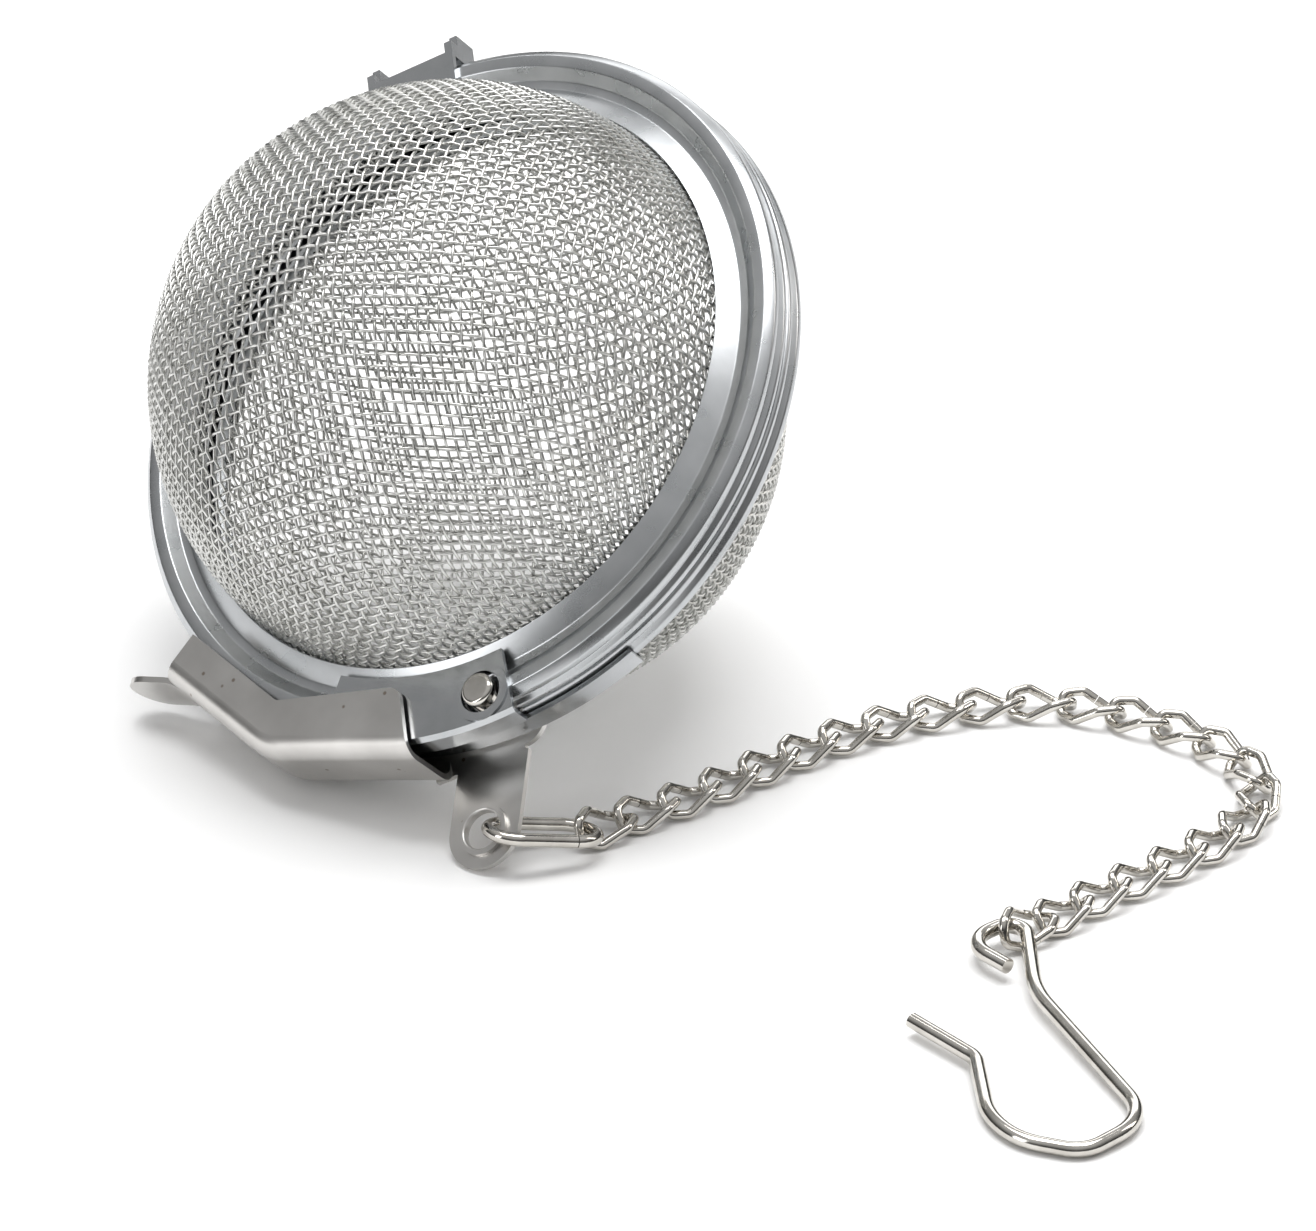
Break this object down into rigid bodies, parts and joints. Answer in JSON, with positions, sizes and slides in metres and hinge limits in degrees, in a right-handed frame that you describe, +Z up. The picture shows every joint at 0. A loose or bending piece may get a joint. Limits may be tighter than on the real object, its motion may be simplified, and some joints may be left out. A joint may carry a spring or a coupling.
{
  "type": "tea infuser",
  "caption": "Two-piece woven mesh ball for steeping tea, hinged at one side and shut by a swinging clasp, with a curb chain and a bent wire cup hook.",
  "frame": {"origin": "middle of the whole object in plan, on the table it lies on", "axes": "+Z up; +Y away from the hook, towards the back of the ball; +X towards the bend of the chain"},
  "size_m": [0.0936, 0.1032, 0.0528],
  "materials": {
    "woven_mesh": "plain-woven stainless wire cloth",
    "pressed_steel": "pressed and spun sheet, satin",
    "plate_steel": "bright rolled sheet",
    "clasp_steel": "satin front, bright edges",
    "bright_steel": "polished wire"
  },
  "bodies": {
    "back_half": {"back_mesh_dome": "woven_mesh", "back_rim": "pressed_steel", "back_crimp_ring": "pressed_steel", "back_hinge_leaf": "plate_steel", "back_latch_plate": "plate_steel", "rivet": "bright_steel"},
    "front_half": {"front_mesh_dome": "woven_mesh", "front_rim": "pressed_steel", "front_crimp_ring": "pressed_steel", "front_hinge_leaf": "plate_steel", "front_latch_plate": "plate_steel"},
    "clasp": {"clasp": "clasp_steel"},
    "jump_ring": {"jump_ring": "bright_steel"},
    "chain_link_01": {"chain_link_01": "bright_steel"},
    "chain_link_02": {"chain_link_02": "bright_steel"},
    "chain_link_03": {"chain_link_03": "bright_steel"},
    "chain_link_04": {"chain_link_04": "bright_steel"},
    "chain_link_05": {"chain_link_05": "bright_steel"},
    "chain_link_06": {"chain_link_06": "bright_steel"},
    "chain_link_07": {"chain_link_07": "bright_steel"},
    "chain_link_08": {"chain_link_08": "bright_steel"},
    "chain_link_09": {"chain_link_09": "bright_steel"},
    "chain_link_10": {"chain_link_10": "bright_steel"},
    "chain_link_11": {"chain_link_11": "bright_steel"},
    "chain_link_12": {"chain_link_12": "bright_steel"},
    "chain_link_13": {"chain_link_13": "bright_steel"},
    "chain_link_14": {"chain_link_14": "bright_steel"},
    "chain_link_15": {"chain_link_15": "bright_steel"},
    "chain_link_16": {"chain_link_16": "bright_steel"},
    "chain_link_17": {"chain_link_17": "bright_steel"},
    "chain_link_18": {"chain_link_18": "bright_steel"},
    "chain_link_19": {"chain_link_19": "bright_steel"},
    "chain_link_20": {"chain_link_20": "bright_steel"},
    "chain_link_21": {"chain_link_21": "bright_steel"},
    "chain_link_22": {"chain_link_22": "bright_steel"},
    "chain_link_23": {"chain_link_23": "bright_steel"},
    "chain_link_24": {"chain_link_24": "bright_steel"},
    "cup_hook": {"cup_hook": "bright_steel"}
  },
  "joints": [
    {"name": "lid_hinge", "type": "hinge", "parent": "back_half", "child": "front_half", "pos_m": [-0.02267, 0.04965, 0.04278], "axis": [-0.8494, 0.1819, -0.4954], "range_deg": [0, 160]},
    {"name": "clasp_pivot", "type": "hinge", "parent": "back_half", "child": "clasp", "pos_m": [-0.01421, -0.00037, 0.009], "axis": [-0.515, -0.4904, 0.703], "range_deg": [0, 60]},
    {"name": "ring_swing", "type": "hinge", "parent": "clasp", "child": "jump_ring", "pos_m": [-0.01723, -0.00654, 0.00249], "axis": [-0.515, -0.4904, 0.703], "range_deg": [-30, 32]},
    {"name": "chain_joint_01", "type": "hinge", "parent": "jump_ring", "child": "chain_link_01", "pos_m": [-0.00918, -0.00437, 0.00151], "axis": [-0.3194, 0.9315, -0.1741], "range_deg": [-5, 35]},
    {"name": "chain_joint_02", "type": "hinge", "parent": "chain_link_01", "child": "chain_link_02", "pos_m": [-0.00617, -0.0021, 0.00116], "axis": [0, 0, 1], "range_deg": [-3, 14]},
    {"name": "chain_joint_03", "type": "hinge", "parent": "chain_link_02", "child": "chain_link_03", "pos_m": [-0.00262, 0.00015, 0.00116], "axis": [-0.5701, 0.8216, 0], "range_deg": [-34, 34]},
    {"name": "chain_joint_04", "type": "hinge", "parent": "chain_link_03", "child": "chain_link_04", "pos_m": [0.00072, 0.00269, 0.00116], "axis": [0, 0, -1], "range_deg": [-38, 38]},
    {"name": "chain_joint_05", "type": "hinge", "parent": "chain_link_04", "child": "chain_link_05", "pos_m": [0.00394, 0.00539, 0.00116], "axis": [0.6448, -0.7643, 0], "range_deg": [-34, 34]},
    {"name": "chain_joint_06", "type": "hinge", "parent": "chain_link_05", "child": "chain_link_06", "pos_m": [0.00714, 0.00811, 0.00116], "axis": [0, 0, 1], "range_deg": [-38, 44]},
    {"name": "chain_joint_07", "type": "hinge", "parent": "chain_link_06", "child": "chain_link_07", "pos_m": [0.01047, 0.01067, 0.00116], "axis": [-0.5734, 0.8193, 0], "range_deg": [-34, 34]},
    {"name": "chain_joint_08", "type": "hinge", "parent": "chain_link_07", "child": "chain_link_08", "pos_m": [0.01402, 0.01292, 0.00116], "axis": [0, 0, -1], "range_deg": [-46, 35]},
    {"name": "chain_joint_09", "type": "hinge", "parent": "chain_link_08", "child": "chain_link_09", "pos_m": [0.01779, 0.01476, 0.00116], "axis": [0.3812, -0.9245, 0], "range_deg": [-34, 34]},
    {"name": "chain_joint_10", "type": "hinge", "parent": "chain_link_09", "child": "chain_link_10", "pos_m": [0.02177, 0.01611, 0.00116], "axis": [0, 0, 1], "range_deg": [-32, 46]},
    {"name": "chain_joint_11", "type": "hinge", "parent": "chain_link_10", "child": "chain_link_11", "pos_m": [0.0259, 0.01685, 0.00116], "axis": [-0.0685, 0.9976, 0], "range_deg": [-34, 34]},
    {"name": "chain_joint_12", "type": "hinge", "parent": "chain_link_11", "child": "chain_link_12", "pos_m": [0.0301, 0.01668, 0.00116], "axis": [0, 0, -1], "range_deg": [-46, 25]},
    {"name": "chain_joint_13", "type": "hinge", "parent": "chain_link_12", "child": "chain_link_13", "pos_m": [0.03409, 0.01537, 0.00116], "axis": [-0.4087, -0.9127, 0], "range_deg": [-34, 34]},
    {"name": "chain_joint_14", "type": "hinge", "parent": "chain_link_13", "child": "chain_link_14", "pos_m": [0.03773, 0.01327, 0.00116], "axis": [0, 0, 1], "range_deg": [-33, 46]},
    {"name": "chain_joint_15", "type": "hinge", "parent": "chain_link_14", "child": "chain_link_15", "pos_m": [0.04104, 0.01068, 0.00116], "axis": [0.6988, 0.7153, 0], "range_deg": [-34, 34]},
    {"name": "chain_joint_16", "type": "hinge", "parent": "chain_link_15", "child": "chain_link_16", "pos_m": [0.0437, 0.00743, 0.00116], "axis": [0, 0, -1], "range_deg": [-46, 21]},
    {"name": "chain_joint_17", "type": "hinge", "parent": "chain_link_16", "child": "chain_link_17", "pos_m": [0.04511, 0.00348, 0.00116], "axis": [-0.9948, -0.1019, 0], "range_deg": [-28, 29]},
    {"name": "chain_joint_18", "type": "hinge", "parent": "chain_link_17", "child": "chain_link_18", "pos_m": [0.04453, -0.00068, 0.00116], "axis": [0, 0, 1], "range_deg": [-18, 46]},
    {"name": "chain_joint_19", "type": "hinge", "parent": "chain_link_18", "child": "chain_link_19", "pos_m": [0.04235, -0.00427, 0.00116], "axis": [0.7893, -0.614, 0], "range_deg": [-34, 34]},
    {"name": "chain_joint_20", "type": "hinge", "parent": "chain_link_19", "child": "chain_link_20", "pos_m": [0.03941, -0.00727, 0.00116], "axis": [0, 0, -1], "range_deg": [-45, 37]},
    {"name": "chain_joint_21", "type": "hinge", "parent": "chain_link_20", "child": "chain_link_21", "pos_m": [0.03625, -0.01003, 0.00116], "axis": [-0.6512, 0.7589, 0], "range_deg": [-34, 34]},
    {"name": "chain_joint_22", "type": "hinge", "parent": "chain_link_21", "child": "chain_link_22", "pos_m": [0.03303, -0.01274, 0.00116], "axis": [0, 0, 1], "range_deg": [-38, 40]},
    {"name": "chain_joint_23", "type": "hinge", "parent": "chain_link_22", "child": "chain_link_23", "pos_m": [0.02986, -0.01549, 0.00116], "axis": [0.6695, -0.7428, 0], "range_deg": [-34, 34]},
    {"name": "chain_joint_24", "type": "hinge", "parent": "chain_link_23", "child": "chain_link_24", "pos_m": [0.02679, -0.01836, 0.00116], "axis": [0, 0, -1], "range_deg": [-23, 7]},
    {"name": "hook_swing", "type": "hinge", "parent": "chain_link_24", "child": "cup_hook", "pos_m": [0.02388, -0.02092, 0.00171], "axis": [0, 0, 1], "range_deg": [-35, 5]}
  ]
}
